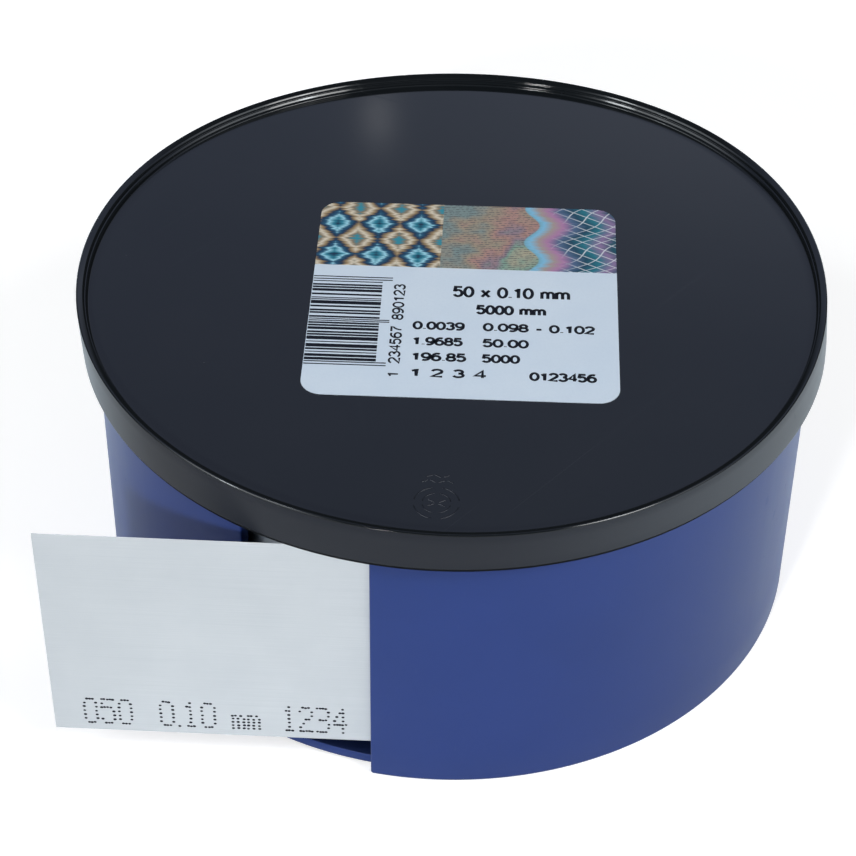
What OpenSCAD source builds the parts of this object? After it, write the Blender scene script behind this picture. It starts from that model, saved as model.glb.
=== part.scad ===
// Round dispenser can for thin steel gauge strip. The strip lies coiled in a moulded can,
// and its outer end leaves on a tangent through a window in the wall, under a push-on lid.
// The can's axis is Z, its foot stands on Z = 0, and the drawn-out end runs along -X.

/* [Strip] */
// Width of the strip, which is its height in the can
strip_w = 50; // [20:1:100]
// Thickness of the strip
strip_t = 0.1; // [0.05:0.05:0.3]
// Whole length of the strip
strip_l = 5000; // [1000:100:8000]
// Length drawn out, from the point where it leaves the coil
tail_l = 71.5; // [45:0.5:150]
// Height by which every second turn stands proud of its neighbours
turn_stagger = 0.2; // [0:0.05:0.5]
// Gap between the outer turn and the wall
coil_clear = 1.3; // [0.8:0.1:4]

/* [Can] */
// Outside diameter of the can
can_d = 138; // [90:1:220]
// Thickness of the wall
wall_t = 2.2; // [1.2:0.1:3]
// Thickness of the floor
floor_t = 2.1; // [1:0.1:4]
// Height of the foot ring under the floor
foot_h = 1; // [0.5:0.1:3]
// Radius of the foot's outside edge and of the window's lower corners
foot_edge_r = 0.8; // [0.3:0.1:1]
// Radius of the fillet between floor and wall
floor_fillet_r = 0.8; // [0.3:0.1:1]
// Height of the pads on the floor that carry the coil
pad_h = 3.4; // [1:0.1:8]
// Width of a pad
pad_w = 2.4; // [1:0.1:6]
// Reach of a pad inwards from the wall
pad_l = 6; // [4:0.5:20]
// Number of pads
pads = 6; // [3:1:12]
// Gap between the strip and the edge of the window that it runs past
window_clear = 0.28; // [0.15:0.01:0.5]
// Finger room in the window beyond the strip, along the wall
finger_room = 15; // [5:0.5:40]

/* [Lid] */
// Thickness of the lid's panel
panel_t = 1.7; // [1:0.1:3]
// Height of the rim over the panel
rim_h = 2; // [1.6:0.1:4]
// Width of the rim's ridge
rim_w = 1.5; // [1.2:0.1:2.5]
// Radius of the rim's outside edge
rim_edge_r = 0.6; // [0.3:0.1:0.8]
// Width of the ledge inside the ridge
ledge_w = 0.5; // [0.3:0.1:2]
// Height of the ledge over the panel
ledge_h = 1; // [0.4:0.1:1.2]
// Height of the skirt, from its foot to the top of the rim
skirt_h = 9.6; // [7:0.1:20]
// Thickness of the skirt at its foot
skirt_t = 1.6; // [1.2:0.1:2.5]
// Widening of the skirt from its foot to the rim, on the radius
skirt_draft = 0.8; // [0:0.1:1.5]
// Thickness of the grip bead inside the skirt
bead_t = 0.8; // [0.4:0.1:1]
// Height of the grip bead
bead_h = 2.4; // [1.8:0.1:4]
// Gap between the grip bead and the can
lid_clear = 0.3; // [0.1:0.05:0.5]
// Gap under the skirt's foot, over the upper edge of the strip that passes below it
skirt_clear = 0.5; // [0.3:0.1:5]
// Gap where one piece rests on another
seat_gap = 0.1; // [0:0.05:0.3]

/* [Label] */
// Width of the label, along X
label_w = 58.5; // [30:0.5:80]
// Length of the label, along Y
label_l = 60; // [30:0.5:80]
// Radius of the label's corners
label_corner_r = 4; // [1:0.5:8]
// Thickness of the label
label_t = 0.15; // [0.1:0.05:0.3]
// Place of the label's centre from the can's axis, along X
label_x = 2; // [-5:0.5:5]
// Place of the label's centre from the can's axis, along Y
label_y = -4; // [-5:0.5:5]
// Turn of the label, in degrees
label_turn = 0.5; // [-5:0.5:5]

/* [Hidden] */
$fn = 96;

// Length by which cutters overshoot, and by which joined solids reach into each other
over = 1;
weld = 0.02;
// Distance by which the floor's edge in the window stands outside the wall's inner face
floor_proud = 0.2;
// Number of chords in a moulded edge's quarter round
edge_steps = 4;

can_r = can_d / 2;
bore_r = can_r - wall_t;
floor_z = foot_h + floor_t;

// The coil of round turns, and the angles past its tangent point where the strip meets the wall
coil_r = bore_r - coil_clear;
coil_l = strip_l - tail_l;
coil_round = 2 * PI * coil_r;
turns = (coil_round - sqrt(pow(coil_round, 2) - 4 * PI * strip_t * coil_l)) / (2 * PI * strip_t);
whole_turns = floor(turns);
coil_z = floor_z + pad_h + seat_gap;
window_near_deg = acos((coil_r + window_clear) / bore_r);
window_far_deg = acos(coil_r / can_r) + finger_room / can_r * 180 / PI;
window_chord = 2 * can_r * sin((window_far_deg - window_near_deg) / 2);
floor_edge_r = bore_r + floor_proud;

// Heights of the lid, stacked up from the strip's upper edge
skirt_foot_r = can_r + lid_clear + bead_t + skirt_t;
lid_r = skirt_foot_r + skirt_draft;
skirt_bore_r = skirt_foot_r - skirt_t;
skirt_z = coil_z + strip_w + skirt_clear;
lid_z = skirt_z + skirt_h;
panel_z = lid_z - rim_h;
can_h = panel_z - panel_t - seat_gap;
edge_chamfer = 0.3;

// Radius of the outside of one turn, counted inwards from the outer turn
function turn_r(k) = coil_r - k * strip_t;
// Height by which one turn stands proud
function turn_rise(k) = k % 2 * turn_stagger;

// Points of a quarter round about a centre, from one angle to the next a quarter turn on
function quarter(x, z, r, from, way = 1) = [for (i = [0 : edge_steps])
    [x + r * cos(from + way * 90 * i / edge_steps), z + r * sin(from + way * 90 * i / edge_steps)]];

// Half section of the can: floor, foot ring, and wall with a round upper edge
module can_section() {
    top_r = wall_t / 2;
    polygon(concat(
        [[0, foot_h], [bore_r, foot_h], [bore_r, 0]],
        quarter(can_r - foot_edge_r, foot_edge_r, foot_edge_r, -90),
        quarter(can_r - top_r, can_h - top_r, top_r, 0),
        quarter(bore_r + top_r, can_h - top_r, top_r, 90),
        quarter(bore_r - floor_fillet_r, floor_z + floor_fillet_r, floor_fillet_r, 0, -1),
        [[0, floor_z]]
    ));
}

// Pads on the floor, set clear of the window and rooted in the wall
module coil_pads() {
    window_mid_deg = (window_near_deg + window_far_deg) / 2;
    for (i = [0 : pads - 1])
        rotate([0, 0, (i + 0.5) * 360 / pads - window_mid_deg])
            translate([-pad_w / 2, -bore_r - wall_t / 2, floor_z - floor_t / 2])
                cube([pad_w, pad_l + wall_t / 2, pad_h + floor_t / 2]);
}

// Radial cut at one side of the window, flared at the foot where the wall's corner is round
module window_side(deg, side) {
    flare = quarter(foot_edge_r, foot_edge_r, foot_edge_r, -90, -1);
    reach = 0.6 * window_chord;
    rotate([0, 0, -deg])
        rotate([90, 0, 0])
            linear_extrude(can_r + over)
                polygon([for (p = concat(
                    [[-reach, -over], [foot_edge_r, -over]],
                    flare,
                    [[0, can_h + over], [-reach, can_h + over]]
                )) [side * p[0], p[1]]]);
}

// Takes the wall and its fillet away, and leaves the floor's edge
module exit_window() {
    inside_r = bore_r - floor_fillet_r - over / 4;
    intersection() {
        rotate_extrude()
            polygon([
                [inside_r, -over],
                [can_r + over, -over],
                [can_r + over, can_h + over],
                [inside_r, can_h + over],
                [inside_r, floor_z],
                [floor_edge_r, floor_z],
                [floor_edge_r, foot_h],
                [inside_r, foot_h]
            ]);
        union() {
            window_side(window_near_deg, 1);
            window_side(window_far_deg, -1);
        }
    }
}

module can_body() {
    color("royalblue")
        difference() {
            union() {
                rotate_extrude()
                    can_section();
                coil_pads();
            }
            exit_window();
        }
}

// Turned ring of the whole turns, each with its own height, so both ends show them
module wound_turns() {
    lower = [for (k = [0 : whole_turns - 1]) each [
        [turn_r(k), coil_z + turn_rise(k)],
        [turn_r(k + 1), coil_z + turn_rise(k)]
    ]];
    upper = [for (k = [whole_turns - 1 : -1 : 0]) each [
        [turn_r(k + 1), coil_z + strip_w + turn_rise(k)],
        [turn_r(k), coil_z + strip_w + turn_rise(k)]
    ]];
    rotate_extrude()
        polygon(concat(lower, upper));
}

// What is left of the strip after the whole turns, up to its inner end
module inner_end() {
    rotate([0, 0, -90])
        rotate_extrude(angle = (turns - whole_turns) * 360)
            translate([turn_r(whole_turns + 1), coil_z + turn_rise(whole_turns)])
                square([strip_t + weld, strip_w]);
}

// The drawn-out end, straight from the tangent point
module drawn_end() {
    translate([-tail_l, -coil_r + weld, coil_z])
        cube([tail_l, strip_t, strip_w]);
}

module steel_strip() {
    color("silver")
        union() {
            wound_turns();
            inner_end();
            drawn_end();
        }
}

// Half section of the lid: panel, ledge, ridge, drafted skirt and grip bead
module lid_section() {
    ridge_r = lid_r - rim_w;
    ledge_r = ridge_r - ledge_w;
    bead_r = skirt_bore_r - bead_t;
    polygon(concat(
        [
            [0, panel_z - panel_t],
            [skirt_bore_r, panel_z - panel_t],
            [skirt_bore_r, skirt_z + bead_h],
            [bead_r, skirt_z + bead_h - bead_t],
            [bead_r, skirt_z + edge_chamfer],
            [bead_r + edge_chamfer, skirt_z],
            [skirt_foot_r - edge_chamfer, skirt_z],
            [skirt_foot_r, skirt_z + edge_chamfer]
        ],
        quarter(lid_r - rim_edge_r, lid_z - rim_edge_r, rim_edge_r, 0),
        [
            [ridge_r + edge_chamfer, lid_z],
            [ridge_r, lid_z - edge_chamfer],
            [ridge_r, panel_z + ledge_h],
            [ledge_r, panel_z + ledge_h],
            [ledge_r, panel_z],
            [0, panel_z]
        ]
    ));
}

module lid() {
    color("#23262e")
        rotate_extrude()
            lid_section();
}

module label() {
    half_w = label_w / 2 - label_corner_r;
    half_l = label_l / 2 - label_corner_r;
    color("lightsteelblue")
        translate([label_x, label_y, panel_z])
            rotate([0, 0, label_turn])
                linear_extrude(label_t) {
                    square([label_w, 2 * half_l], center = true);
                    square([2 * half_w, label_l], center = true);
                    for (x = [-half_w, half_w], y = [-half_l, half_l])
                        translate([x, y])
                            circle(r = label_corner_r);
                }
}

can_body();
steel_strip();
lid();
label();
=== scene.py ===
"""Gauge strip in its dispenser can: a blue moulded can, a coil of thin steel strip whose end is drawn out
through a window in the wall, and a black push-on lid with a printed label."""

import math
import random
from functools import reduce

import bmesh
import bpy
from mathutils import Matrix, Vector


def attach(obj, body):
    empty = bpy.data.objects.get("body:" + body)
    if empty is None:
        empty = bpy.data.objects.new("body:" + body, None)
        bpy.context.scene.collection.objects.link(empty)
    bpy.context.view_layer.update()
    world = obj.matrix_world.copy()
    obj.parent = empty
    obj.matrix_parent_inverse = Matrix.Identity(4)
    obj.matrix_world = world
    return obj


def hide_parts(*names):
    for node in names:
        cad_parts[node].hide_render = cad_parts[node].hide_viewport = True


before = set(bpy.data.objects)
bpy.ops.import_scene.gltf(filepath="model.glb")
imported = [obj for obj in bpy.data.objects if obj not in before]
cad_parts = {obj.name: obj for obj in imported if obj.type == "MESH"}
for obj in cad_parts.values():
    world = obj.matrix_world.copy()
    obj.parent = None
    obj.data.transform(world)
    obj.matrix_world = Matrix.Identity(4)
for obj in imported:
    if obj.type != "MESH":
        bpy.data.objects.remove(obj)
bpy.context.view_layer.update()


# ---- Viewpoint ----
# A long lens looks down on the can from the front at about 41 degrees. The place and the three
# turns were fitted to the outlines of the rim, the skirt, the foot and the strip.

MM = 0.001
PHOTO_WIDTH_PX = 856
FOCAL_PX = 2449.77
camera_place_mm = (10.78, -374.88, 351.07)
camera_pitch, camera_yaw, camera_roll = (math.radians(a) for a in (40.716, -2.38, -0.703))

forward = Vector((math.sin(camera_yaw) * math.cos(camera_pitch),
                  math.cos(camera_yaw) * math.cos(camera_pitch),
                  -math.sin(camera_pitch)))
level_right = Vector((math.cos(camera_yaw), -math.sin(camera_yaw), 0))
level_down = forward.cross(level_right)
right = math.cos(camera_roll) * level_right + math.sin(camera_roll) * level_down
down = -math.sin(camera_roll) * level_right + math.cos(camera_roll) * level_down

camera_lens = bpy.data.cameras.new("camera")
camera_lens.sensor_width = 36
camera_lens.lens = FOCAL_PX / PHOTO_WIDTH_PX * camera_lens.sensor_width
camera_lens.clip_start, camera_lens.clip_end = 0.01, 20
camera = bpy.data.objects.new("camera", camera_lens)
bpy.context.scene.collection.objects.link(camera)
camera.matrix_world = Matrix.Translation(Vector(camera_place_mm) * MM) @ Matrix(
    (right, -down, -forward)).transposed().to_4x4()
bpy.context.scene.camera = camera


# ---- Can ----
# The can is one moulding in blue polypropylene: a round wall on a floor that stands a little above a
# foot ring, with pads that carry the coil. A window runs the wall's full height where the strip leaves.

can_radius = 69.0
bore_radius = 66.8
can_height = 62.9
floor_under, floor_top = 1.0, 3.1
floor_lip_radius = 67.0
floor_disc_radius = 65.75
foot_round = 0.8
foot_inner_round = 0.3
floor_fillet = 0.8
seam_start, seam_run = 0.9, 2.0
window_edge_round = 0.3
coil_radius = 65.5
window_near_deg = math.degrees(math.acos((coil_radius + 0.28) / bore_radius))
window_far_deg = math.degrees(math.acos(coil_radius / can_radius) + 15 / can_radius)
pad_count, pad_width, pad_length, pad_height = 6, 2.4, 6.0, 3.4
pad_root, pad_round = 1.0, 0.35
lip_round = 0.2
wall_heights = (8, 20, 32, 44, 56)
edge_run = 3.0
plain_columns, lip_columns = 300, 20


def arc(centre_r, centre_z, radius, from_deg, to_deg, steps=6):
    """Points of a rounded edge in a half section, as (distance from the axis, height)."""
    turns = (math.radians(from_deg + (to_deg - from_deg) * i / steps) for i in range(steps + 1))
    return [(centre_r + radius * math.cos(t), centre_z + radius * math.sin(t)) for t in turns]


def around(azimuth_deg, distance, height):
    """Place in metres. Azimuth 0 is the front of the can, and azimuth 90 its right side."""
    a = math.radians(azimuth_deg)
    return Vector((distance * math.sin(a), -distance * math.cos(a), height)) * MM


def ladder(bm, left, right_side):
    """Faces between two lines of vertices of the same length."""
    for i in range(len(left) - 1):
        bm.faces.new((left[i], left[i + 1], right_side[i + 1], right_side[i]))


def new_piece(name, bm, sharp_deg=35):
    """Object made from the mesh, smooth where the faces meet at less than sharp_deg."""
    bmesh.ops.recalc_face_normals(bm, faces=bm.faces)
    mesh = bpy.data.meshes.new(name)
    bm.to_mesh(mesh)
    bm.free()
    mesh.shade_smooth()
    mesh.set_sharp_from_angle(angle=math.radians(sharp_deg))
    piece = bpy.data.objects.new(name, mesh)
    bpy.context.scene.collection.objects.link(piece)
    return piece


# The wall's half section, from the floor's underside round the outside and back to the floor's top.
foot_steps = 6
wall_top_round = (can_radius - bore_radius) / 2
wall_section = (
    [(floor_disc_radius, floor_under), (bore_radius, floor_under), (bore_radius, foot_round)]
    + arc(bore_radius + foot_inner_round, foot_inner_round, foot_inner_round, 180, 270, foot_steps - 1)
    + arc(can_radius - foot_round, foot_round, foot_round, -90, 0, foot_steps)
    + [(can_radius, z) for z in wall_heights]
    + arc(can_radius - wall_top_round, can_height - wall_top_round, wall_top_round, 0, 180, 12)
    + [(bore_radius, z) for z in reversed(wall_heights)]
    + arc(bore_radius - floor_fillet, floor_top + floor_fillet, floor_fillet, 0, -90, 5)
    + [(floor_disc_radius, floor_top)]
)
foot_first = 2
foot_last = foot_first + 2 * foot_steps + 1
lip_section = (
    [(floor_disc_radius, floor_under)]
    + arc(floor_lip_radius - lip_round, floor_under + lip_round, lip_round, -90, 0, 3)
    + arc(floor_lip_radius - lip_round, floor_top - lip_round, lip_round, 0, 90, 3)
    + [(floor_disc_radius, floor_top)]
)


def edge_pull(i):
    """Inward direction at point i of the wall's section, shortened to nothing where the floor joins."""
    (r0, z0), (r1, z1) = wall_section[i - 1], wall_section[(i + 1) % len(wall_section)]
    r, z = wall_section[i]
    along = math.hypot(r1 - r0, z1 - z0)
    outer = 1 if r > bore_radius + 0.05 else min(1, max(0, (z - floor_top - seam_start) / seam_run))
    return (-(z1 - z0) / along * outer, (r1 - r0) / along * outer)


def corner_flare(z):
    """Distance by which the window widens where the wall's lower corner is rounded."""
    return foot_round - math.sqrt(foot_round ** 2 - (foot_round - z) ** 2) if z < foot_round else 0


def wall_column(bm, edge_deg, side, run, pull, flare_share):
    """Vertices of the section that stands run millimetres along the wall from a side of the window."""
    column = []
    for i, (r, z) in enumerate(wall_section):
        pull_r, pull_z = edge_pull(i)
        run_here = run + flare_share * corner_flare(z)
        column.append(bm.verts.new(around(edge_deg + side * math.degrees(run_here / can_radius),
                                          r + pull * pull_r, z + pull * pull_z)))
    return column


# Beside the window each column is (run along the wall, pull inwards, share of the corner's flare).
can_mesh = bmesh.new()
edge_turns = [math.radians(t) for t in (0, 22.5, 45, 67.5, 90)]
near_edge = [(window_edge_round * (1 - math.cos(t)), window_edge_round * (1 - math.sin(t)), 1)
             for t in edge_turns]
near_edge += [(0.6, 0, 1), (1.2, 0, 0.8), (2.0, 0, 0.4), (edge_run, 0, 0)]
wall_arc = 2 * math.pi * can_radius * (360 - window_far_deg + window_near_deg) / 360
plain_runs = [edge_run + (wall_arc - 2 * edge_run) * i / plain_columns for i in range(1, plain_columns)]
wall = [wall_column(can_mesh, -window_near_deg, 1, *n) for n in near_edge]
wall += [wall_column(can_mesh, -window_near_deg, 1, run, 0, 0) for run in plain_runs]
wall += [wall_column(can_mesh, -window_far_deg, -1, *n) for n in reversed(near_edge)]
for one, two in zip(wall, wall[1:]):
    ladder(can_mesh, one, two)

# In the window only the floor's lip runs on, and each end of the wall is closed above and below it.
lip = []
for k in range(1, lip_columns):
    azimuth = -window_near_deg - (window_far_deg - window_near_deg) * k / lip_columns
    lip.append([can_mesh.verts.new(around(azimuth, r, z)) for r, z in lip_section])
for one, two in zip(lip, lip[1:]):
    ladder(can_mesh, one, two)
for end, column, edge_deg in ((lip[0], wall[0], -window_near_deg), (lip[-1], wall[-1], -window_far_deg)):
    joint = [can_mesh.verts.new(around(edge_deg, r, z)) for r, z in lip_section[1:-1]]
    seam = [column[0], *joint, column[-1]]
    ladder(can_mesh, seam, end)
    foot = column[foot_first:foot_last]
    half = len(foot) // 2
    ladder(can_mesh, foot[:half], foot[:half:-1])
    can_mesh.faces.new(foot[half - 1:half + 2])
    can_mesh.faces.new([column[0], column[1], column[foot_first], *column[foot_last - 1:], *joint[::-1]])

# The floor's underside and its top run in to the middle.
ring_order = wall + lip[::-1]
for floor_side in (0, -1):
    ring = [column[floor_side] for column in ring_order]
    inner_ring = [can_mesh.verts.new(Vector((v.co.x * 0.5, v.co.y * 0.5, v.co.z))) for v in ring]
    ladder(can_mesh, ring + ring[:1], inner_ring + inner_ring[:1])
    can_mesh.faces.new(inner_ring)

pad_mid_deg = -(window_near_deg + window_far_deg) / 2
for k in range(pad_count):
    pad = bmesh.ops.create_cube(can_mesh, size=1)["verts"]
    length = pad_length + pad_root
    bmesh.ops.scale(can_mesh, vec=Vector((pad_width, length, pad_height + pad_root)) * MM, verts=pad)
    pad_edges = list({e for v in pad for e in v.link_edges})
    rounded = bmesh.ops.bevel(can_mesh, geom=pad_edges, offset=pad_round * MM, segments=3, affect="EDGES")
    pad = list({v for f in rounded["faces"] for v in f.verts} | {v for v in pad if v.is_valid})
    turn = Matrix.Rotation(math.radians(pad_mid_deg + (k + 0.5) * 360 / pad_count), 4, "Z")
    place = Vector((0, -(bore_radius - pad_length + length / 2),
                    floor_top + (pad_height - pad_root) / 2)) * MM
    bmesh.ops.transform(can_mesh, matrix=turn @ Matrix.Translation(place), verts=pad)

can = new_piece("moulded_can", can_mesh)


def give(tree, node, inputs):
    """Sets inputs of a shader node, each as a value or as the socket that feeds it."""
    for name, value in inputs.items():
        if isinstance(value, bpy.types.NodeSocket):
            tree.links.new(value, node.inputs[name])
        else:
            node.inputs[name].default_value = value


def add(tree, kind, inputs=None, **settings):
    """Adds a shader node."""
    node = tree.nodes.new("ShaderNode" + kind)
    for name, value in settings.items():
        setattr(node, name, value)
    give(tree, node, inputs or {})
    return node


def new_group(name, inputs, outputs):
    """Empty shader node group with named sockets. Returns it with its input and output nodes."""
    group = bpy.data.node_groups.new(name, "ShaderNodeTree")
    for label, kind, default in inputs:
        socket = group.interface.new_socket(name=label, in_out="INPUT", socket_type="NodeSocket" + kind)
        if default is not None:
            socket.default_value = default
    for label, kind in outputs:
        group.interface.new_socket(name=label, in_out="OUTPUT", socket_type="NodeSocket" + kind)
    return group, group.nodes.new("NodeGroupInput"), group.nodes.new("NodeGroupOutput")


def reckoned(tree, way, first, second=0.0):
    """Result of one step of reckoning on sockets or numbers."""
    return add(tree, "Math", {0: first, 1: second}, operation=way).outputs[0]


def total(tree, *values):
    """Sum of sockets and numbers."""
    return reduce(lambda first, other: reckoned(tree, "ADD", first, other), values)


def product(tree, *values):
    """Product of sockets and numbers."""
    return reduce(lambda first, other: reckoned(tree, "MULTIPLY", first, other), values)


def scaled(tree, value, low, high, from_low=0.0, from_high=1.0):
    """Value brought from one range into another."""
    return add(tree, "MapRange", {"Value": value, "From Min": from_low, "From Max": from_high,
                                  "To Min": low, "To Max": high}).outputs[0]


def mixed(tree, share, first, second):
    """Colour between two colours or sockets, by a share from 0 to 1."""
    return add(tree, "Mix", {0: share, 6: first, 7: second}, data_type="RGBA").outputs[2]


def noise(tree, where, scale, detail, roughness=0.5):
    """Cloudy pattern from 0 to 1."""
    return add(tree, "TexNoise", {"Vector": where, "Scale": scale, "Detail": detail,
                                  "Roughness": roughness}).outputs["Fac"]


def stretched(tree, where, *factors):
    """Place with each axis stretched by its own factor."""
    return add(tree, "Mapping", {"Vector": where, "Scale": factors}).outputs[0]


def relief(tree, height, strength, depth=0.00001):
    """Direction in which a surface faces where fine relief lies on it."""
    return add(tree, "Bump", {"Height": height, "Strength": strength, "Distance": depth}).outputs[0]


def new_material(name):
    """Material, its node tree, its Principled shader and the place on the piece."""
    material = bpy.data.materials.new(name)
    material.use_nodes = True
    tree = material.node_tree
    return material, tree, tree.nodes["Principled BSDF"], add(tree, "TexCoord").outputs["Object"]


# Moulded plastic: broad patches where the melt flowed, fine texture of the tool's steel, draw lines
# along the way the part left the tool, and a few faint hair scratches and specks of dust.
moulded_skin, skin_in, skin_out = new_group(
    "moulded skin",
    [("Position", "Vector", None), ("Patch Scale", "Float", 60.0), ("Grain Scale", "Float", 3500.0),
     ("Draw", "Vector", None), ("Dust", "Float", 0.5)],
    [("Patches", "Float"), ("Grain", "Float"), ("Draw Lines", "Float"), ("Scratches", "Float"),
     ("Specks", "Float")])
position = skin_in.outputs["Position"]
patches = noise(moulded_skin, position, skin_in.outputs["Patch Scale"], 3.0, 0.55)
grain = noise(moulded_skin, position, skin_in.outputs["Grain Scale"], 2.0, 0.6)
draw_lines = noise(moulded_skin, skin_in.outputs["Draw"], 1.0, 3.0, 0.6)
scratches = 0.0
for k, (turn_deg, length, spread) in enumerate(((24, 14, 1500), (-51, 19, 1900), (78, 11, 1700))):
    turned = add(moulded_skin, "VectorRotate", {"Vector": position, "Angle": math.radians(turn_deg)},
                 rotation_type="Z_AXIS")
    drawn_thin = add(moulded_skin, "Mapping", {"Vector": turned.outputs[0],
                                               "Location": (3.1 * k, 1.7, 0.4 * k),
                                               "Scale": (length, spread, 40 + 300 * k)})
    lines = noise(moulded_skin, drawn_thin.outputs[0], 1.0, 0.0)
    scratches = reckoned(moulded_skin, "MAXIMUM", scratches, scaled(moulded_skin, lines, 0, 1, 0.83, 0.88))
speck_cells = add(moulded_skin, "TexVoronoi", {"Vector": position, "Scale": 420.0, "Randomness": 1.0})
speck_pick = add(moulded_skin, "SeparateColor", {"Color": speck_cells.outputs["Color"]})
speck_size = scaled(moulded_skin, speck_pick.outputs[0], 0, 0.05, 0.95, 1.0)
speck_near = reckoned(moulded_skin, "LESS_THAN", speck_cells.outputs["Distance"], speck_size)
specks = product(moulded_skin, speck_near, skin_in.outputs["Dust"])
give(moulded_skin, skin_out, {"Patches": patches, "Grain": grain, "Draw Lines": draw_lines,
                              "Scratches": scratches, "Specks": specks})

blue_plastic, tree, shader, where = new_material("blue moulded plastic")
drawn_up = stretched(tree, where, 900, 900, 25)
skin = add(tree, "Group", {"Position": where, "Patch Scale": 38.0, "Grain Scale": 2600.0,
                           "Draw": drawn_up, "Dust": 0.35}, node_tree=moulded_skin).outputs
deep_blue, pale_blue = (0.0175, 0.039, 0.164, 1), (0.0205, 0.043, 0.178, 1)
plastic_tone = mixed(tree, scaled(tree, skin["Patches"], 0, 1, 0.3, 0.7), deep_blue, pale_blue)
# Everything within the bore, the wall's inner face and the floor, is painted much darker: painted shade
# inside the can.
from_axis = stretched(tree, where, 1, 1, 0)
reach = add(tree, "VectorMath", {0: from_axis}, operation="LENGTH").outputs["Value"]
painted_inside_shade = scaled(tree, reach, 0.75, 0, bore_radius * MM, (bore_radius + 0.2) * MM)
plastic_tone = mixed(tree, painted_inside_shade, plastic_tone, (0.004, 0.006, 0.016, 1))
marked = mixed(tree, scaled(tree, skin["Scratches"], 0, 0.03), plastic_tone, (0.16, 0.2, 0.34, 1))
dusted = mixed(tree, scaled(tree, skin["Specks"], 0, 0.3), marked, (0.42, 0.45, 0.5, 1))
roughness = total(tree, scaled(tree, skin["Patches"], 0.36, 0.41, 0.3, 0.7),
                  scaled(tree, skin["Draw Lines"], -0.015, 0.015),
                  scaled(tree, skin["Scratches"], 0, 0.05), scaled(tree, skin["Specks"], 0, 0.2))
height = total(tree, scaled(tree, skin["Grain"], 0, 0.25), scaled(tree, skin["Draw Lines"], 0, 0.05),
               scaled(tree, skin["Scratches"], 0, -0.06), scaled(tree, skin["Patches"], 0, 1.5))
give(tree, shader, {"Base Color": dusted, "Roughness": roughness, "Normal": relief(tree, height, 0.35),
                    "IOR": 1.45, "Specular IOR Level": 0.2})
can.data.materials.append(blue_plastic)

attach(can, "can")
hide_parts("can_body")


# ---- Steel strip ----
# Five metres of hard-rolled spring steel, 50 mm wide and a tenth of a millimetre thick, slit and wound
# into the can. The outer turn leaves the coil on a tangent and runs straight out through the window.

strip_width, strip_thick = 50.0, 0.1
strip_low = 6.6
drawn_out = 71.5
turn_pitch = 0.104
turn_count = 12.09
turn_rise = 0.2
columns_per_turn = 150
drawn_columns = 60
edge_bevel = 0.02

stations = [((-drawn_out + drawn_out * i / drawn_columns, -(coil_radius - strip_thick / 2)), (0, -1), 0)
            for i in range(drawn_columns)]
for i in range(int(turn_count * columns_per_turn) + 1):
    turn = i / columns_per_turn
    angle = 2 * math.pi * turn
    distance = coil_radius - strip_thick / 2 - turn_pitch * turn
    rise = turn_rise / 2 * (1 - math.cos(math.pi * turn))
    stations.append(((distance * math.sin(angle), -distance * math.cos(angle)),
                     (math.sin(angle), -math.cos(angle)), rise))

half = strip_thick / 2
strip_section = [(half, edge_bevel), (half, strip_width / 3), (half, 2 * strip_width / 3),
                 (half, strip_width - edge_bevel), (half - edge_bevel, strip_width),
                 (edge_bevel - half, strip_width), (-half, strip_width - edge_bevel), (-half, edge_bevel),
                 (edge_bevel - half, 0), (half - edge_bevel, 0)]
strip_mesh = bmesh.new()
strip_columns = [[strip_mesh.verts.new(Vector((x + nx * off, y + ny * off, strip_low + rise + up)) * MM)
                  for off, up in strip_section] for (x, y), (nx, ny), rise in stations]
for one, two in zip(strip_columns, strip_columns[1:]):
    ladder(strip_mesh, one + one[:1], two + two[:1])
strip_mesh.faces.new(strip_columns[0])
strip_mesh.faces.new(strip_columns[-1])
strip = new_piece("wound_strip", strip_mesh, 25)

rolled_steel, tree, shader, where = new_material("rolled steel")
rolled = noise(tree, stretched(tree, where, 45, 45, 5200), 1.0, 3.0, 0.65)
cloud = noise(tree, where, 75.0, 4.0, 0.6)
pits = noise(tree, where, 5200.0, 1.0)
steel_tone = mixed(tree, scaled(tree, cloud, 0, 1, 0.3, 0.7),
                   (0.605, 0.620, 0.637, 1), (0.642, 0.655, 0.668, 1))
steel_lines = mixed(tree, scaled(tree, rolled, 0.0, 0.22, 0.35, 0.75), steel_tone, (0.45, 0.48, 0.50, 1))
roughness = total(tree, scaled(tree, cloud, 0.36, 0.44, 0.3, 0.7), scaled(tree, rolled, -0.05, 0.06))
height = total(tree, scaled(tree, rolled, 0, 1), scaled(tree, pits, 0, 0.5))
give(tree, shader, {"Base Color": steel_lines, "Roughness": roughness, "Normal": relief(tree, height, 0.25),
                    "Metallic": 1})
strip.data.materials.append(rolled_steel)

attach(strip, "can")
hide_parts("steel_strip")


# ---- Marking on the strip ----
# A needle marker prints rows of small dark dots along the strip's lower edge, so that every cut length
# shows its thickness. Each figure is five dots wide and seven high.

dot_figures = {
    "0": ("01110", "10001", "10001", "10001", "10001", "10001", "01110"),
    "1": ("00100", "01100", "00100", "00100", "00100", "00100", "01110"),
    "2": ("01110", "10001", "00001", "00110", "01000", "10000", "11111"),
    "3": ("11110", "00001", "00001", "01110", "00001", "00001", "11110"),
    "4": ("00010", "00110", "01010", "10010", "11111", "00010", "00010"),
    "5": ("11111", "10000", "11110", "00001", "00001", "10001", "01110"),
    ".": ("0", "0", "0", "0", "0", "0", "1"),
    "m": ("00000", "00000", "11010", "10101", "10101", "10101", "10101"),
}
marking_front = -coil_radius
dot_sides, dot_stretch, dot_stray = 8, 1.15, 0.07
dot_layers = ((1, -0.002), (1, 0.006), (0.7, 0.012))    # share of the radius, rise from the strip
dot_random = random.Random(11)


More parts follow.
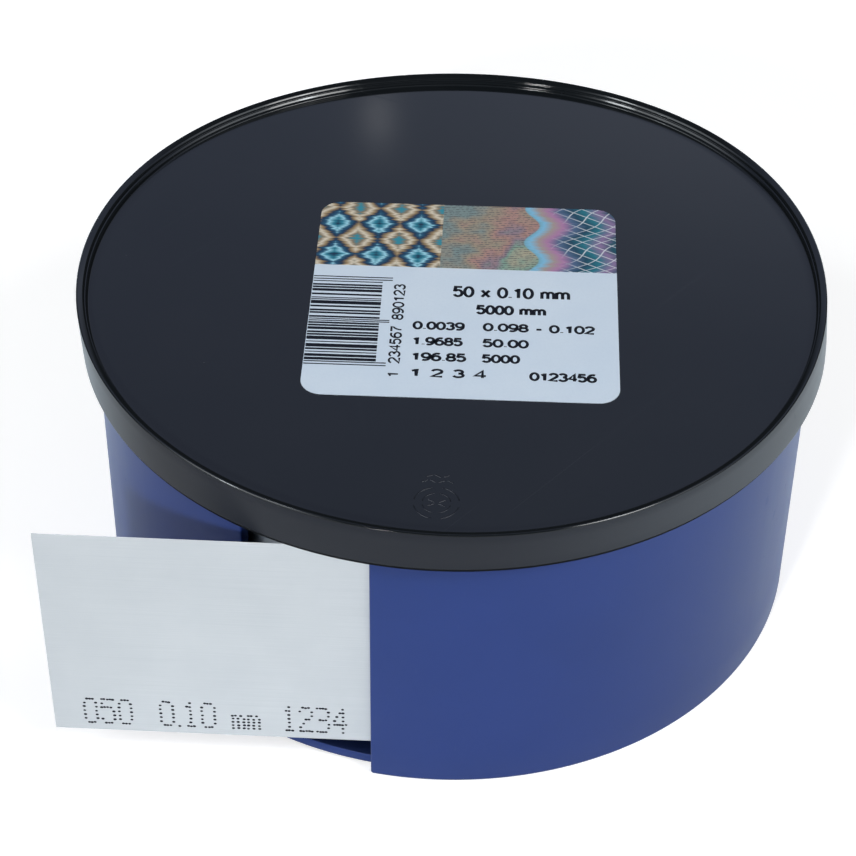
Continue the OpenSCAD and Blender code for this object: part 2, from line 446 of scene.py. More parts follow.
def printed_figures(bm, text, left, baseline, across, up, gap):
    """Dots of a row of figures on the front of the drawn-out strip."""
    x = left
    for sign in text:
        rows = dot_figures[sign]
        for row, bits in enumerate(rows):
            for column, bit in enumerate(bits):
                if bit == "1":
                    stray_x, stray_z = (dot_random.uniform(-dot_stray, dot_stray) for _ in range(2))
                    radius = dot_random.uniform(0.24, 0.30)
                    centre = Vector((x + column * across + stray_x, 0, baseline + (6 - row) * up + stray_z))
                    rims = []
                    for share, out in dot_layers:
                        rims.append([bm.verts.new(Vector((
                            centre.x + dot_stretch * radius * share * math.cos(2 * math.pi * k / dot_sides),
                            marking_front - out,
                            centre.z + radius * share * math.sin(2 * math.pi * k / dot_sides))) * MM)
                            for k in range(dot_sides)])
                    for low, high in zip(rims, rims[1:]):
                        ladder(bm, low + low[:1], high + high[:1])
                    bm.faces.new(rims[0])
                    bm.faces.new(rims[-1])
        x += (len(rows[0]) - 1) * across + gap


marking_mesh = bmesh.new()
figure_base = strip_low + 1.9
for text, left, across in (("050", -65.6, 0.55), ("0.10", -51.4, 0.58), ("1234", -28.4, 0.53)):
    printed_figures(marking_mesh, text, left, figure_base, across, 1.06, 1.05)
printed_figures(marking_mesh, "mm", -37.9, figure_base, 0.52, 0.86, 0.8)
marking = new_piece("strip_marking", marking_mesh)

marking_ink, tree, shader, where = new_material("marking ink")
soaked = noise(tree, where, 2600.0, 2.0)
ink_tone = mixed(tree, scaled(tree, soaked, 0, 1, 0.35, 0.65),
                 (0.003, 0.004, 0.010, 1), (0.012, 0.012, 0.020, 1))
give(tree, shader, {"Base Color": ink_tone, "Roughness": scaled(tree, soaked, 0.6, 0.85),
                    "Specular IOR Level": 0.2})
marking.data.materials.append(marking_ink)

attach(marking, "can")


# ---- Lid ----
# The lid is one moulding in black plastic: a flat panel, a narrow ledge and a raised ridge round it, and a
# drafted skirt whose inner bead snaps over the can. It is pushed on by hand.

skirt_low, lid_top = 57.1, 66.7
panel_top, panel_under = 64.7, 63.0
ledge_top = 65.7
skirt_bore, bead_radius = 70.1, 69.3
skirt_foot_radius, lid_radius = 71.7, 72.5
ridge_radius, ledge_radius = 71.0, 70.5
rim_bevel, ledge_bevel = 0.2, 0.30
edge_round = 0.08
foot_bevel_run, foot_bevel_rise = 0.45, 0.9
foot_low_round, foot_high_round = 0.12, 0.15
skirt_rise = 8.3
bore_round, bead_round, mouth_round = 0.3, 0.3, 0.35
bead_end, bead_slope, bead_face = 2.4, 1.75, 1.4    # heights above the skirt's foot

# The ridge's top slopes inwards at 16 degrees and then falls at 50. Its three roundings have their centres
# this far out from the ridge's inner face and down from the lid's top.
ridge_round = 0.2
ridge_centres = ((1.2, 0.2), (0.37, 0.446), (0.2, 0.65))
ridge_turns = ((90, 106), (106, 140), (140, 180))
ridge_top = sum((arc(ridge_radius + out, lid_top - fall, ridge_round, *turns, 3)
                 for (out, fall), turns in zip(ridge_centres, ridge_turns)), [])
ridge_foot_round, panel_fillet = 0.15, 0.35

# The ledge's inner edge is bevelled at 48 degrees. Two rows of points keep the bevel flat between its
# roundings, given as distances in from the ledge's face and down from its top.
ledge_bevel_deg = 138
ledge_bevel_rows = ((0.2185, 0.0525), (0.0425, 0.2605))
ledge_bevel_fall = 0.34

lid_section = (
    [(skirt_bore - 2 * bore_round, panel_under)]
    + arc(skirt_bore - bore_round, panel_under - bore_round, bore_round, 90, 0, 4)
    + [(skirt_bore, skirt_low + bead_end), (bead_radius + 0.25, skirt_low + bead_slope)]
    + arc(bead_radius + bead_round, skirt_low + bead_face, bead_round, 130, 180, 3)
    + arc(bead_radius + mouth_round, skirt_low + mouth_round, mouth_round, 180, 270, 5)
    + arc(skirt_foot_radius - foot_bevel_run, skirt_low + foot_low_round, foot_low_round, -90, -24, 4)
    + arc(skirt_foot_radius - foot_high_round, skirt_low + foot_bevel_rise, foot_high_round, -24, 4, 3)
    + [(skirt_foot_radius + (lid_radius - skirt_foot_radius) * share,
        skirt_low + foot_bevel_rise + skirt_rise * share) for share in (0.25, 0.5, 0.75)]
    + arc(lid_radius - edge_round, lid_top - rim_bevel, edge_round, 5, 45, 3)
    + arc(lid_radius - rim_bevel, lid_top - edge_round, edge_round, 45, 90, 3)
    + ridge_top
    + arc(ridge_radius - ridge_foot_round, ledge_top + ridge_foot_round, ridge_foot_round, 0, -90, 4)
    + arc(ledge_radius + ledge_bevel, ledge_top - edge_round, edge_round, 90, ledge_bevel_deg, 3)
    + [(ledge_radius + across, ledge_top - fall) for across, fall in ledge_bevel_rows]
    + arc(ledge_radius + edge_round, ledge_top - ledge_bevel_fall, edge_round, ledge_bevel_deg, 180, 3)
    + arc(ledge_radius - panel_fillet, panel_top + panel_fillet, panel_fillet, 0, -90, 6)
    + [(68.6, panel_top)]
)

# The free upper edge has sprung a little out of round. Each lobe is (count round the rim, reach in
# millimetres, direction in degrees from the right side). The bead keeps the skirt's foot round.
rim_lobes = ((2, 0.23, 169), (3, 0.79, 134), (4, 0.29, 170))
rim_shift = (-0.146, 0.373)
rim_shrink = 0.2
spring_low = 58.5
flat_radius, flat_run = 50, 20    # the panel stays flat inside this radius, and gives way over this run


def sprung(point):
    """Place of a point of the lid once its upper edge is out of round."""
    x, y, z = point / MM
    distance = math.hypot(x, y)
    turn = math.atan2(y, x)
    share = (max(0, (z - spring_low) / (lid_top - spring_low))
             * min(1, max(0, (distance - flat_radius) / flat_run)))
    lobes = (size * math.cos(count * turn - math.radians(way)) for count, size, way in rim_lobes)
    swell = sum(lobes) - rim_shrink
    return Vector((x + share * (swell * math.cos(turn) + rim_shift[0]),
                   y + share * (swell * math.sin(turn) + rim_shift[1]), z)) * MM


lid_columns = 360
lid_mesh = bmesh.new()
lid_rings = [[lid_mesh.verts.new(sprung(around(360 * k / lid_columns, r, z))) for k in range(lid_columns)]
             for r, z in lid_section]
for one, two in zip(lid_rings, lid_rings[1:]):
    ladder(lid_mesh, one + one[:1], two + two[:1])
for ring in (lid_rings[0], lid_rings[-1]):
    inner_ring = [lid_mesh.verts.new(Vector((v.co.x * 0.5, v.co.y * 0.5, v.co.z))) for v in ring]
    ladder(lid_mesh, ring + ring[:1], inner_ring + inner_ring[:1])
    lid_mesh.faces.new(inner_ring)


# Sections of a rib and of a printed stroke, as shares of half the width and of the height.
narrow_rib = ((-1, 0), (-0.25, 0.9), (0, 1), (0.25, 0.9), (1, 0))
flat_print = ((-1, 0), (-0.9, 1), (0.9, 1), (1, 0))


def raised_line(bm, points, width, low, high, profile, closed=False):
    """Rib along a line, with the given profile."""
    points = [Vector(p) for p in points]
    count = len(points)
    sections = []
    for i, p in enumerate(points):
        before = points[i - 1] if i or closed else p
        after = points[(i + 1) % count] if i < count - 1 or closed else p
        along_line = (after - before).normalized()
        across_line = Vector((-along_line.y, along_line.x))
        bend = abs(along_line.dot((p - before).normalized())) if before != p else 1
        reach = width / 2 / max(0.6, bend)
        sections.append([bm.verts.new(Vector((*(p + across_line * side * reach),
                                              low + (high - low) * up)) * MM) for side, up in profile])
    for one, two in zip(sections, sections[1:] + (sections[:1] if closed else [])):
        ladder(bm, one + one[:1], two + two[:1])
    if not closed:
        bm.faces.new(sections[0])
        bm.faces.new(sections[-1])


def bow(x, y, across, up, from_deg, to_deg, steps=14):
    """Points of a part of an oval."""
    turns = (math.radians(from_deg + (to_deg - from_deg) * i / steps) for i in range(steps + 1))
    return [(x + across * math.cos(t), y + up * math.sin(t)) for t in turns]


# A plain mark at the front of the panel: two broken rings, four spokes and two rows of short dashes, as
# thin ribs.
mark_x, mark_y = -0.6, -62.2
mark_low, mark_high = panel_top - 0.03, panel_top + 0.08
rib, rib_stray = 0.26, 0.025
ring_radii, ring_gap_deg = (4.0, 2.5), 12
spoke_degs, spoke_from, spoke_to = (27, 151, 207, 331), 0.5, 1.7
dash_rows, dash_pitch, dash_step, dash_slopes = ((5.6, 4), (7.0, 3)), 1.5, 0.2, (0.48, -0.56)
mark_random = random.Random(5)


def uneven(points):
    """The same points, each moved a little, as worn tooling leaves a thin rib."""
    return [(x + mark_random.uniform(-rib_stray, rib_stray), y + mark_random.uniform(-rib_stray, rib_stray))
            for x, y in points]


mark_lines = []
for radius in ring_radii:
    for start in (0, 90, 180, 270):
        mark_lines.append(uneven(bow(mark_x, mark_y, radius, radius,
                                     start + ring_gap_deg, start + 90 - ring_gap_deg, 22)))
for turn in (math.radians(a) for a in spoke_degs):
    mark_lines.append([(mark_x + d * math.cos(turn), mark_y + d * math.sin(turn))
                       for d in (spoke_from, spoke_to)])
for row, count in dash_rows:
    for k in range(count):
        left = mark_x + dash_pitch * (k - count / 2) + dash_step
        slope = dash_slopes[k % 2]
        mark_lines.append(uneven([(left + dash_step * i, mark_y + row + slope * dash_step * (i - 2.5))
                                  for i in range(6)]))
for line in mark_lines:
    raised_line(lid_mesh, line, rib, mark_low, mark_high, narrow_rib)
lid = new_piece("push_on_lid", lid_mesh)

black_plastic, tree, shader, where = new_material("black moulded plastic")
drawn_up = stretched(tree, where, 1300, 1300, 60)
skin = add(tree, "Group", {"Position": where, "Patch Scale": 42.0, "Grain Scale": 3000.0,
                           "Draw": drawn_up, "Dust": 0.6}, node_tree=moulded_skin).outputs
plastic_tone = mixed(tree, scaled(tree, skin["Patches"], 0, 1, 0.3, 0.7), (0.0055, 0.0070, 0.0085, 1),
             (0.0068, 0.0082, 0.0098, 1))
# The panel and the rim were polished in the mould, and the skirt's outside was left satin.
height_up = add(tree, "SeparateXYZ", {"Vector": where}).outputs["Z"]
from_axis, facing = stretched(tree, where, 1, 1, 0), add(tree, "TexCoord").outputs["Normal"]
faces_out = add(tree, "VectorMath", {0: from_axis, 1: facing}, operation="DOT_PRODUCT").outputs["Value"]
under_rim = scaled(tree, height_up, 1, 0, (lid_top - 0.4) * MM, (lid_top - 0.2) * MM)
over_foot = scaled(tree, height_up, 0, 1, (skirt_low + 0.8) * MM, (skirt_low + 1.0) * MM)
on_skirt = product(tree, under_rim, over_foot, scaled(tree, faces_out, 0, 1, 0.01, 0.03))
# The skirt's outside is also painted a little bluer than the panel: a painted reflection.
plastic_tone = mixed(tree, on_skirt, plastic_tone, (0.0052, 0.0070, 0.0128, 1))
marked = mixed(tree, scaled(tree, skin["Scratches"], 0, 0.015), plastic_tone, (0.2, 0.22, 0.25, 1))
dusted = mixed(tree, scaled(tree, skin["Specks"], 0, 0.3), marked, (0.2, 0.21, 0.23, 1))
roughness = total(tree, scaled(tree, skin["Patches"], 0.085, 0.10, 0.3, 0.7),
                  scaled(tree, on_skirt, 0, 0.26), scaled(tree, skin["Grain"], -0.01, 0.01),
                  scaled(tree, skin["Scratches"], 0, 0.04), scaled(tree, skin["Specks"], 0, 0.2))
height = total(tree, scaled(tree, skin["Grain"], 0, 0.4), scaled(tree, skin["Scratches"], 0, -0.15),
               scaled(tree, skin["Patches"], 0, 2.0))
give(tree, shader, {"Base Color": dusted, "Roughness": roughness, "Normal": relief(tree, height, 0.3),
                    "IOR": 1.45, "Specular IOR Level": 0.30})
lid.data.materials.append(black_plastic)

# The bevel at the skirt's foot is painted darker than the rest of the lid and given almost no shine all
# round: a painted shade line under the skirt.
painted_shade_edge, tree, shader, where = new_material("painted shade foot edge")
foot_edge_mottle = noise(tree, where, 900.0, 3.0)
foot_shade_tone = mixed(tree, foot_edge_mottle, (0.0022, 0.0028, 0.0040, 1), (0.0050, 0.0058, 0.0075, 1))
give(tree, shader, {"Base Color": foot_shade_tone, "Roughness": scaled(tree, foot_edge_mottle, 0.7, 0.9),
                    "Specular IOR Level": 0.05})
lid.data.materials.append(painted_shade_edge)
for face in lid.data.polygons:
    outside = math.hypot(face.center.x, face.center.y) > (skirt_foot_radius - foot_bevel_run) * MM
    if outside and face.center.z < (skirt_low + foot_bevel_rise - 0.05) * MM:
        face.material_index = 1

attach(lid, "lid")
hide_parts("lid")


# ---- Label ----
# A die-cut square of coated paper with a pressure-sensitive back, smoothed on to the panel by hand and
# turned by half a degree. Its print is a block of bars and rows of plain figures.

label_place = Matrix.Translation(Vector((2, -4, 0)) * MM) @ Matrix.Rotation(math.radians(0.5), 4, "Z")
label_half_width, label_half_length, label_corner = 29.25, 30.0, 4.0
paper_low, paper_top = panel_top, 64.85
print_rise = 0.012


def rounded_outline(low_x, low_y, high_x, high_y, low_round, high_round, steps=10):
    """Outline of a rectangle whose lower and upper corners have their own rounding."""
    points = []
    for x, y, radius, start in ((high_x, high_y, high_round, 0), (low_x, high_y, high_round, 90),
                                (low_x, low_y, low_round, 180), (high_x, low_y, low_round, 270)):
        centre_x = x - radius if x == high_x else x + radius
        centre_y = y - radius if y == high_y else y + radius
        points += arc(centre_x, centre_y, radius, start, start + 90, steps) if radius else [(x, y)]
    return points


def slab(bm, outline, low, high):
    """Flat closed plate of that outline."""
    under = [bm.verts.new(Vector((x, y, low)) * MM) for x, y in outline]
    over = [bm.verts.new(Vector((x, y, high)) * MM) for x, y in outline]
    ladder(bm, under + under[:1], over + over[:1])
    bm.faces.new(under)
    bm.faces.new(over)


def on_label(name, bm, material):
    """Piece made in the label's own axes, laid on the lid."""
    bm.transform(label_place)
    piece = new_piece(name, bm)
    piece.data.materials.append(material)
    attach(piece, "lid")
    return piece


coated_paper, tree, shader, where = new_material("coated paper")
fibre = noise(tree, where, 1900.0, 4.0, 0.7)
tint = noise(tree, where, 90.0, 2.0)
paper_tone = mixed(tree, scaled(tree, tint, 0, 1, 0.35, 0.65),
                   (0.54, 0.63, 0.735, 1), (0.57, 0.655, 0.75, 1))
fibred = mixed(tree, scaled(tree, fibre, 0, 0.35, 0.4, 0.75), paper_tone, (0.49, 0.58, 0.69, 1))
give(tree, shader, {"Base Color": fibred, "Roughness": scaled(tree, fibre, 0.42, 0.56),
                    "Normal": relief(tree, fibre, 0.2)})

paper_mesh = bmesh.new()
slab(paper_mesh, rounded_outline(-label_half_width, -label_half_length, label_half_width, label_half_length,
                                 label_corner, label_corner), paper_low, paper_top)
paper = on_label("label_paper", paper_mesh, coated_paper)
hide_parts("label")

print_ink, tree, shader, where = new_material("print ink")
bleed = noise(tree, where, 1500.0, 3.0)
ink_tone = mixed(tree, scaled(tree, bleed, 0, 1, 0.35, 0.7),
                 (0.003, 0.004, 0.008, 1), (0.009, 0.011, 0.018, 1))
give(tree, shader, {"Base Color": ink_tone, "Roughness": scaled(tree, bleed, 0.5, 0.7),
                    "Specular IOR Level": 0.15})

bar_random = random.Random(5)
bars_top, bars_end = 5.5, -21.5
bars_left, bars_right, long_bars_right = -label_half_width + 0.1, -15.8, -13.9
bar_count = 30
long_bars = (0, 1, 14, 15, 28, 29)
bar_heights, gap_heights = (0.30, 0.55, 0.80, 1.05), (0.26, 0.26, 0.48, 0.70)
bar_sizes = [(bar_heights[0] if k in long_bars else bar_random.choice(bar_heights),
              bar_random.choice(gap_heights)) for k in range(bar_count)]
bars_scale = (bars_top - bars_end) / (sum(bar + gap for bar, gap in bar_sizes) - bar_sizes[-1][1])
bars_mesh = bmesh.new()
bar_y = bars_top
for k, (bar_height, bar_gap) in enumerate(bar_sizes):
    bar_low = bar_y - bar_height * bars_scale
    bar_end = long_bars_right if k in long_bars else bars_right
    slab(bars_mesh, [(bars_left, bar_low), (bar_end, bar_low), (bar_end, bar_y), (bars_left, bar_y)],
         paper_top, paper_top + print_rise)
    bar_y = bar_low - bar_gap * bars_scale
on_label("label_bars", bars_mesh, print_ink)

# Strokes of each figure in a frame one high, and the width that it takes in a line.
figure_strokes = {
    "0": (0.92, [bow(0.46, 0.5, 0.36, 0.5, 90, 450, 26)]),
    "1": (0.92, [[(0.20, 0.72), (0.42, 0.84), (0.52, 1.0), (0.52, 0.0)]]),
    "2": (0.92, [bow(0.46, 0.71, 0.34, 0.29, 172, -28) + [(0.10, 0.0), (0.84, 0.0)]]),
    "3": (0.92, [bow(0.44, 0.76, 0.30, 0.24, 165, -90), bow(0.44, 0.27, 0.35, 0.27, 90, -165)]),
    "4": (0.92, [[(0.62, 0.0), (0.62, 1.0), (0.07, 0.30), (0.86, 0.30)]]),
    "5": (0.92, [[(0.78, 1.0), (0.22, 1.0), (0.13, 0.50)] + bow(0.44, 0.33, 0.35, 0.33, 140, -155)]),
    "6": (0.92, [bow(0.46, 0.32, 0.35, 0.32, 0, 360, 24), bow(0.56, 0.50, 0.45, 0.5, 62, 195)]),
    "7": (0.92, [[(0.10, 1.0), (0.82, 1.0)] + bow(0.98, 0.0, 0.62, 0.86, 115, 180, 8)]),
    "8": (0.92, [bow(0.46, 0.76, 0.29, 0.24, 0, 360, 22), bow(0.46, 0.27, 0.35, 0.27, 0, 360, 24)]),
    "9": (0.92, [bow(0.46, 0.68, 0.35, 0.32, 0, 360, 24), bow(0.36, 0.50, 0.45, 0.5, 15, -118)]),
    ".": (0.42, [[(0.21, 0.0), (0.21, 0.09)]]),
    "-": (0.62, [[(0.08, 0.36), (0.54, 0.36)]]),
    "x": (0.82, [[(0.08, 0.0), (0.74, 0.70)], [(0.08, 0.70), (0.74, 0.0)]]),
    "m": (1.30, [[(0.12, 0.0), (0.12, 0.70)], bow(0.38, 0.44, 0.26, 0.25, 165, 0, 9) + [(0.64, 0.0)],
                 bow(0.90, 0.44, 0.26, 0.25, 165, 0, 9) + [(1.16, 0.0)]]),
    " ": (0.62, []),
}


def printed_line(bm, text, start, end, baseline, cap_height, weight, turned=False):
    """One line of figures between start and end, lying along the label or turned to read upwards."""
    stretch = (end - start) / sum(figure_strokes[sign][0] for sign in text)
    left = start
    for sign in text:
        advance, strokes = figure_strokes[sign]
        for stroke in strokes:
            line = [(left + x * stretch, baseline + y * cap_height) for x, y in stroke]
            if turned:
                line = [(2 * baseline - y, x) for x, y in line]
            round_figure = (Vector(line[0]) - Vector(line[-1])).length < 0.01
            raised_line(bm, line[:-1] if round_figure else line, weight, paper_top,
                        paper_top + print_rise, flat_print, round_figure)
        left += advance * stretch


# Each line is (text, left end, right end, baseline, height, weight), in the label's own axes.
figures_mesh = bmesh.new()
for line in (("50 x 0.10 mm", -2.2, 20.2, 0.35, 2.9, 0.64), ("5000 mm", 2.4, 15.6, -4.8, 2.35, 0.64),
             ("0.0039", -9.4, 0.3, -10.0, 2.0, 0.57), ("0.098 - 0.102", 3.8, 24.8, -9.9, 2.0, 0.57),
             ("1.9685", -9.4, 0.1, -14.7, 2.0, 0.58), ("50.00", 3.8, 12.4, -14.7, 2.0, 0.58),
             ("196.85", -9.4, 0.9, -19.3, 2.0, 0.58), ("5000", 3.8, 10.8, -19.3, 2.0, 0.58),
             ("1 2 3 4", -9.5, 4.8, -24.0, 2.0, 0.57), ("0123456", 12.7, 25.0, -24.1, 2.0, 0.58)):
    printed_line(figures_mesh, *line)
for line in (("1", -24.6, -22.9), ("234567", -20.6, -9.4), ("890123", -7.6, 3.6)):
    printed_line(figures_mesh, *line, -11.5, 1.9, 0.40, turned=True)
on_label("label_figures", figures_mesh, print_ink)


# ---- Foil band ----
# A strip of embossed metal foil, hot-stamped along the label's upper edge. Fine gratings pressed into it
# break the light into teal, gold, pink and blue, and these colours are painted into its patterns as fixed
# colour: painted light.

foil_low_y, foil_rise = 9.1, 0.02
foil_mesh = bmesh.new()
slab(foil_mesh, rounded_outline(-label_half_width, foil_low_y, label_half_width, label_half_length,
                                0, label_corner), paper_top, paper_top + foil_rise)


def coloured(tree, share, stops):
    """Colour from a row of (place, colour) stops."""
    ramp = add(tree, "ValToRGB", {"Fac": share})
    for k, (place, colour) in enumerate(stops):
        stop = ramp.color_ramp.elements[k] if k < 2 else ramp.color_ramp.elements.new(place)
        stop.position = place
        stop.color = (*colour, 1)
    return ramp.outputs[0]


def lines_of(tree, place, spacing):
    """Distance in millimetres from the nearest of a set of lines."""
    return reckoned(tree, "PINGPONG", place, spacing / 2)


stamped_foil, tree, shader, where = new_material("stamped foil")
foil_place = add(tree, "SeparateXYZ", {"Vector": stretched(tree, where, 1000, 1000, 1000)})
foil_x, foil_y = foil_place.outputs["X"], foil_place.outputs["Y"]
drawn_across = add(tree, "Mapping", {"Vector": where, "Rotation": (0, 0, 0.7), "Scale": (140, 1500, 1)})
streaks = noise(tree, drawn_across.outputs[0], 1.0, 3.0, 0.6)
shimmer = noise(tree, where, 160.0, 2.0)

# Left field: nested diamonds in teal, navy and gold.
tile_across, tile_up = 8.2, 10.4
across_tile = lines_of(tree, reckoned(tree, "ADD", foil_x, 40.3), tile_across)
up_tile = lines_of(tree, reckoned(tree, "ADD", foil_y, 2.0), tile_up)
nested = total(tree, reckoned(tree, "DIVIDE", across_tile, tile_across),
               reckoned(tree, "DIVIDE", up_tile, tile_up))
diamonds = coloured(tree, total(tree, nested, scaled(tree, streaks, -0.10, 0.10, 0.3, 0.7)), (
    (0.00, (0.006, 0.035, 0.075)), (0.14, (0.03, 0.26, 0.33)), (0.26, (0.42, 0.78, 0.84)),
    (0.34, (0.02, 0.12, 0.20)), (0.46, (0.008, 0.03, 0.07)), (0.56, (0.40, 0.27, 0.12)),
    (0.68, (0.84, 0.74, 0.54)), (0.80, (0.30, 0.22, 0.12)), (0.92, (0.04, 0.30, 0.36))))

# Middle field: fine broken level lines over a slow run from grey-green through gold to rose.
slow_run = total(tree, scaled(tree, foil_x, 0, 0.7, -3, 17), scaled(tree, foil_y, 0.2, -0.1, 6, 26),
                 scaled(tree, shimmer, -0.25, 0.25, 0.3, 0.7))
golden = coloured(tree, slow_run, (
    (0.05, (0.26, 0.34, 0.30)), (0.25, (0.44, 0.36, 0.24)), (0.45, (0.54, 0.31, 0.24)),
    (0.60, (0.36, 0.26, 0.28)), (0.75, (0.28, 0.44, 0.32)), (0.95, (0.52, 0.46, 0.30))))
level_lines = lines_of(tree, foil_y, 0.6)
breaks = noise(tree, stretched(tree, where, 1500, 1700, 1), 1.0, 1.0)
broken_lines = product(tree, scaled(tree, level_lines, 0.8, 0, 0.06, 0.2),
                       scaled(tree, breaks, 0.25, 1, 0.46, 0.54))
lined = mixed(tree, broken_lines, golden, (0.07, 0.07, 0.08, 1))

# Right field: waved bands in pale blue, rose and deep teal, under two sets of crossing white lines.
wave_rate, wave_reach = 0.55, 1.5
swing = reckoned(tree, "SINE", product(tree, foil_y, wave_rate))
wave = total(tree, foil_x, product(tree, swing, wave_reach))
band_place = total(tree, scaled(tree, wave, 0, 1, 14, 33.5), scaled(tree, streaks, -0.03, 0.03, 0.3, 0.7))
bands = coloured(tree, band_place, (
    (0.00, (0.20, 0.42, 0.44)), (0.08, (0.26, 0.58, 0.74)), (0.17, (0.45, 0.36, 0.30)),
    (0.27, (0.50, 0.24, 0.40)), (0.38, (0.10, 0.16, 0.26)), (0.50, (0.012, 0.07, 0.11)),
    (0.64, (0.02, 0.20, 0.24)), (0.78, (0.30, 0.20, 0.34)), (0.90, (0.014, 0.09, 0.12))))
rising = lines_of(tree, total(tree, foil_y, product(tree, foil_x, 0.55)), 2.2)
falling = lines_of(tree, reckoned(tree, "SUBTRACT", foil_y, product(tree, wave, 0.8)), 2.8)
crossing = reckoned(tree, "MAXIMUM", scaled(tree, rising, 0.8, 0, 0.05, 0.17),
                    scaled(tree, falling, 0.8, 0, 0.05, 0.17))
white_lines = product(tree, crossing, scaled(tree, wave, 0, 1, 19, 23))
netted = mixed(tree, white_lines, bands, (0.86, 0.88, 0.84, 1))

left_edge = scaled(tree, foil_x, 0, 1, -3.2, -3.0)
right_edge = scaled(tree, wave, 0, 1, 14.4, 14.7)
fields = mixed(tree, right_edge, mixed(tree, left_edge, diamonds, lined), netted)
pressed = total(tree, streaks, scaled(tree, nested, 0, 0.5))
give(tree, shader, {"Base Color": fields, "Roughness": scaled(tree, streaks, 0.28, 0.44),
                    "Normal": relief(tree, pressed, 0.25, 0.00002), "Metallic": 0.5})
on_label("label_foil", foil_mesh, stamped_foil)


# ---- Studio ----
# A wide white floor and a plain room under soft light. A low lamp stands in front on the left, and a broad
# one on each side with a small bright core beside it that glints on the rim. One more on the left glints on
# the rim's far side, and a tiny one far behind shows as a soft spot in the lid.

floor_half = 3.0
floor_mesh = bmesh.new()
floor_mesh.faces.new([floor_mesh.verts.new((x * floor_half, y * floor_half, 0))
                      for x, y in ((-1, -1), (1, -1), (1, 1), (-1, 1))])
floor = new_piece("floor", floor_mesh)
white_floor, tree, shader, where = new_material("white floor")


def mirror_rays(tree, rays):
    """1 for a ray that a mirror or glass sends on."""
    return reckoned(tree, "MAXIMUM", rays.outputs["Is Glossy Ray"], rays.outputs["Is Transmission Ray"])


# The floor is white to the camera. In a mirror it is painted brighter to the right and far to the left and a
# little blue, painted light, and darker behind the strip, a painted shadow of the strip.
rays = add(tree, "LightPath")
mirrored = mirror_rays(tree, rays)
floor_place = add(tree, "SeparateXYZ", {"Vector": where})
floor_x, floor_y = floor_place.outputs["X"], floor_place.outputs["Y"]
behind_strip = product(tree, scaled(tree, floor_x, 1, 0, -0.05, -0.035),
                       scaled(tree, floor_y, 1, 0, -0.03, 0.005), scaled(tree, floor_y, 0, 1, -0.068, -0.060))
left_back = product(tree, scaled(tree, floor_x, 1, 0, -0.06, 0.0), scaled(tree, floor_y, 0, 1, -0.03, 0.04))
seen_glow, plain_glow, right_glow, left_glow, shade = 0.54, 0.26, 0.41, 0.55, -0.16
mirror_glow = total(tree, plain_glow, scaled(tree, floor_x, 0, right_glow, 0.02, 0.10),
                    scaled(tree, left_back, 0, left_glow), scaled(tree, behind_strip, 0, shade))
glow = total(tree, scaled(tree, rays.outputs["Is Camera Ray"], 0, seen_glow),
             product(tree, mirrored, mirror_glow))
glow_colour = mixed(tree, mirrored, (1, 1, 1, 1), (0.80, 1.0, 1.14, 1))
give(tree, shader, {"Base Color": (0.72, 0.72, 0.72, 1), "Roughness": 1, "Specular IOR Level": 0,
                    "Emission Strength": glow, "Emission Color": glow_colour})
floor.data.materials.append(white_floor)

# The room is white to the camera and soft grey from above. In a mirror it has a pale wall in front, a
# bright screen high on each side, and behind a dark wall with a pale screen across it.
room = bpy.data.worlds.new("room")
bpy.context.scene.world = room
room.use_nodes = True
tree = room.node_tree
rays = add(tree, "LightPath")
direction = add(tree, "SeparateXYZ", {"Vector": add(tree, "TexCoord").outputs["Generated"]})
up, back = direction.outputs["Z"], scaled(tree, direction.outputs["Y"], 0, 1, -0.1, 0.2)
to_right = scaled(tree, direction.outputs["X"], 0, 1, -0.12, 0.06)
unlit_room = (0.03, 0.035, 0.04, 1)
front_wall = mixed(tree, to_right, (0.44, 0.51, 0.60, 1), (0.78, 0.87, 1.0, 1))
front_room = mixed(tree, scaled(tree, up, 1, 0, 0.25, 0.6), unlit_room, front_wall)
to_side = reckoned(tree, "ABSOLUTE", direction.outputs["X"])
side_screens = product(tree, scaled(tree, up, 0, 1, 0.45, 0.60), scaled(tree, up, 1, 0, 0.75, 0.88),
                       scaled(tree, to_side, 0, 1, 0.40, 0.60))
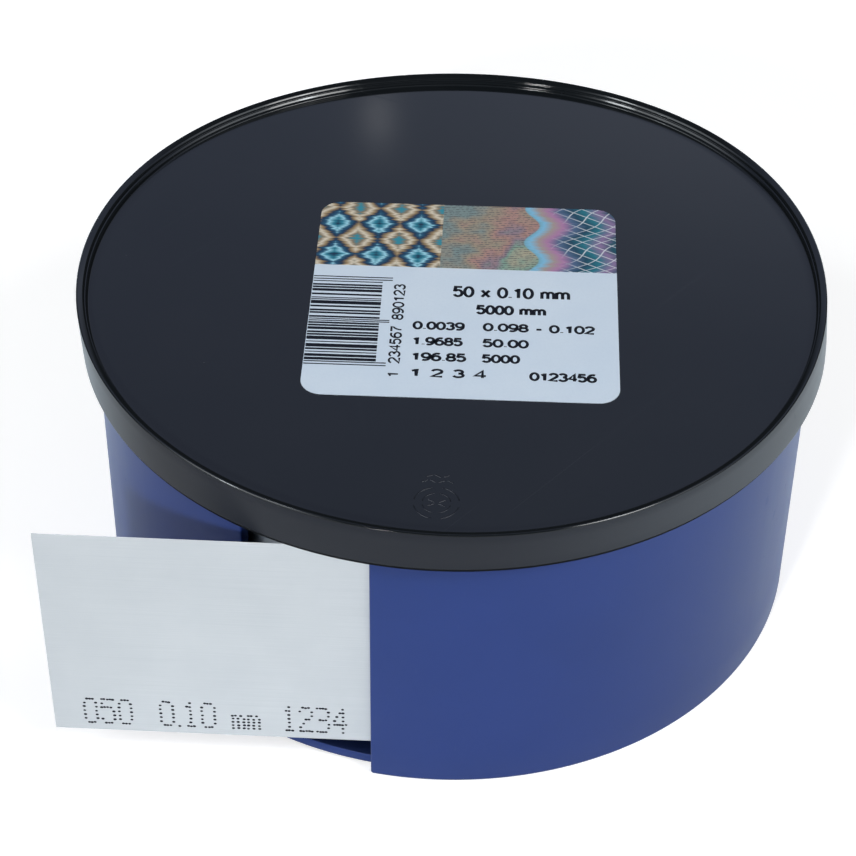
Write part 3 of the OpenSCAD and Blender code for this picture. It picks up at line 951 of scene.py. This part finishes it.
front_room = mixed(tree, side_screens, front_room, (4.0, 4.3, 4.6, 1))
low_screen = mixed(tree, to_right, (0.49, 0.58, 0.84, 1), (0.80, 0.91, 1.20, 1))
high_screen = mixed(tree, to_right, (0.47, 0.55, 0.82, 1), (0.52, 0.61, 0.89, 1))
screen = mixed(tree, scaled(tree, up, 0, 1, 0.555, 0.61), low_screen, high_screen)
screen_height = product(tree, scaled(tree, up, 0, 1, 0.40, 0.53), scaled(tree, up, 1, 0, 0.73, 0.80))
back_room = mixed(tree, screen_height, unlit_room, screen)
room_seen = mixed(tree, back, front_room, back_room)
overhead = mixed(tree, up, (0.06, 0.063, 0.067, 1), (0.31, 0.315, 0.32, 1))
room_light = mixed(tree, mirror_rays(tree, rays), overhead, room_seen)
tree.links.new(mixed(tree, rays.outputs["Is Camera Ray"], room_light, (1, 1, 1, 1)),
               tree.nodes["Background"].inputs["Color"])


def soft_lamp(name, place, size, watts, colour=(1, 1, 1), target=(0, 0, 0.04)):
    """Round area lamp at place, turned towards target."""
    light = bpy.data.lights.new(name, "AREA")
    light.shape = "DISK"
    light.size = size
    light.energy = watts
    light.color = colour
    lamp = bpy.data.objects.new(name, light)
    lamp.location = place
    lamp.rotation_euler = (Vector(target) - Vector(place)).to_track_quat("-Z", "Y").to_euler()
    bpy.context.scene.collection.objects.link(lamp)


cool = (0.86, 0.95, 1.0)
soft_lamp("front_lamp", (-0.475, -1.357, 0.756), 0.17, 13.6)
soft_lamp("right_lamp", (0.808, -0.612, 1.00), 0.50, 9.1)
soft_lamp("right_glint", (0.80, -0.606, 0.99), 0.10, 0.7, cool)
soft_lamp("left_lamp", (-0.94, -0.40, 0.84), 0.50, 1.0)
soft_lamp("left_rim_lamp", (-0.673, -0.460, 1.024), 0.16, 1.8, (0.92, 0.97, 1.0))
soft_lamp("left_glint", (-0.93, -0.396, 0.83), 0.10, 0.9, cool)
soft_lamp("back_lamp", (-0.103, 1.305, 0.893), 0.025, 0.0042, target=(0, 0.05, 0.06))

bpy.context.scene.view_settings.view_transform = "Standard"
